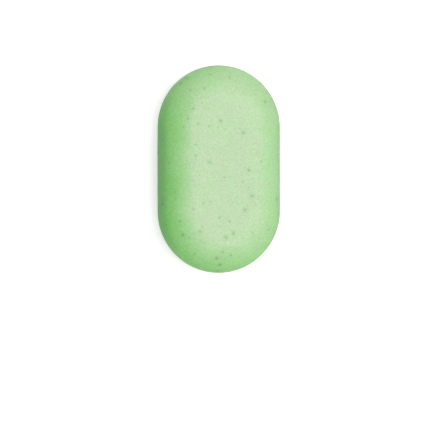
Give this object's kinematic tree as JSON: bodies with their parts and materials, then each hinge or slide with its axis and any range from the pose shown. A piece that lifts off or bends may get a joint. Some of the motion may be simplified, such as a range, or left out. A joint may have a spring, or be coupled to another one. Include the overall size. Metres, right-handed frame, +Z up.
{
  "type": "soap bar",
  "caption": "Obround bar of pale green soap with two flat faces, a full round edge and dark plant specks set flush in the skin.",
  "frame": {"origin": "centre of the flat face that the bar lies on", "axes": "+Z up through the bar's thickness, +Y along its length, +X across its width"},
  "size_m": [0.054, 0.09, 0.028],
  "materials": {
    "soap": "matt waxy skin, a little smoother round the edge",
    "coarse_speck": "matt dry plant grain",
    "fine_speck": "matt dry plant grain"
  },
  "bodies": {
    "root": {"soap_bar": "soap", "coarse_specks": "coarse_speck", "fine_specks": "fine_speck"}
  },
  "joints": []
}
